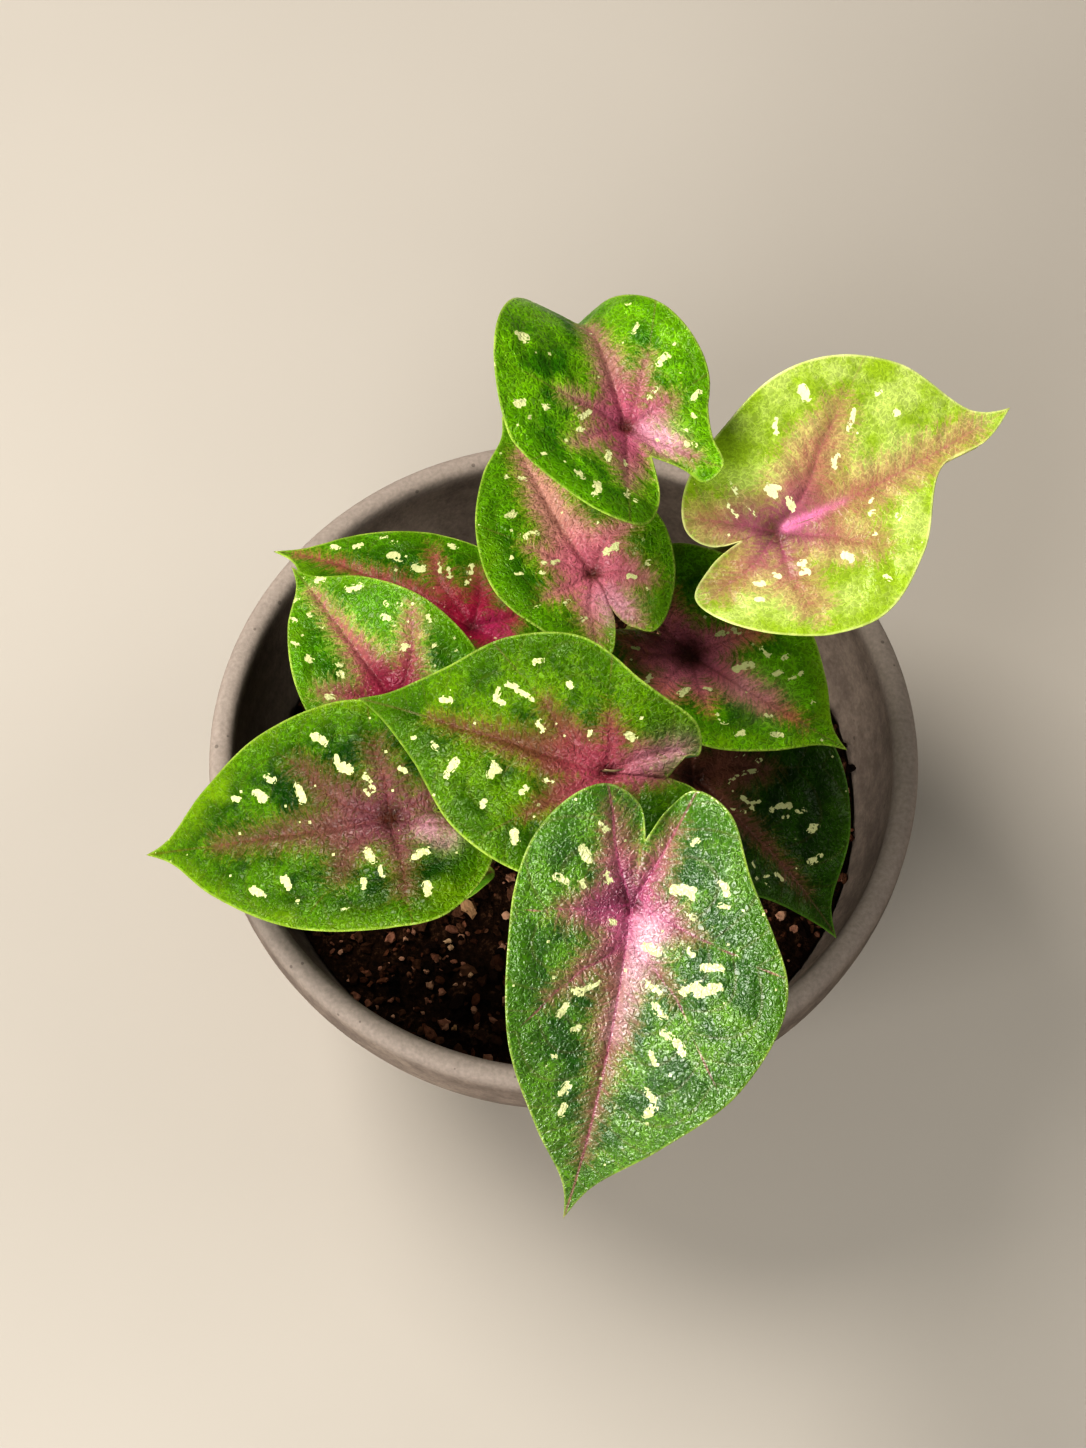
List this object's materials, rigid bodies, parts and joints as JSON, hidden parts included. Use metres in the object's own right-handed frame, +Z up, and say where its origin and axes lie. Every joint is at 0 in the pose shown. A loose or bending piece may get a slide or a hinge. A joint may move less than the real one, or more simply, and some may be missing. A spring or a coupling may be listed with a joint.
{
  "type": "potted caladium",
  "caption": "Young caladium with heart-shaped leaves, green with rosy veins and cream flecks, growing from a tuber in dark soil in a round grey clay bowl.",
  "frame": {"origin": "centre of the pot's flat base, on the surface it stands on", "axes": "+Z up; -Y is the front of the plant, where the largest leaf hangs over the rim; +X to the right seen from the front"},
  "size_m": [0.1859, 0.1971, 0.1765],
  "materials": {
    "fired_clay": "matte",
    "potting_soil": "matte",
    "tuber_skin": "matte",
    "leaf_green": "satin",
    "leaf_dark": "satin",
    "leaf_lime": "satin",
    "leaf_young": "satin",
    "leaf_stalk": "satin"
  },
  "bodies": {
    "root": {"pot": "fired_clay", "soil": "potting_soil", "tuber": "tuber_skin", "blade_back_high": "leaf_green", "blade_back_low": "leaf_green", "blade_right_low": "leaf_dark", "blade_right": "leaf_green", "blade_upper": "leaf_green", "blade_left": "leaf_green", "blade_centre": "leaf_green", "blade_lime": "leaf_lime", "blade_top": "leaf_green", "blade_front": "leaf_green", "blade_young": "leaf_young", "stalk_back_high": "leaf_stalk", "stalk_back_low": "leaf_stalk", "stalk_right_low": "leaf_stalk", "stalk_right": "leaf_stalk", "stalk_upper": "leaf_stalk", "stalk_left": "leaf_stalk", "stalk_centre": "leaf_stalk", "stalk_lime": "leaf_stalk", "stalk_top": "leaf_stalk", "stalk_front": "leaf_stalk", "stalk_young": "leaf_stalk"}
  },
  "joints": []
}
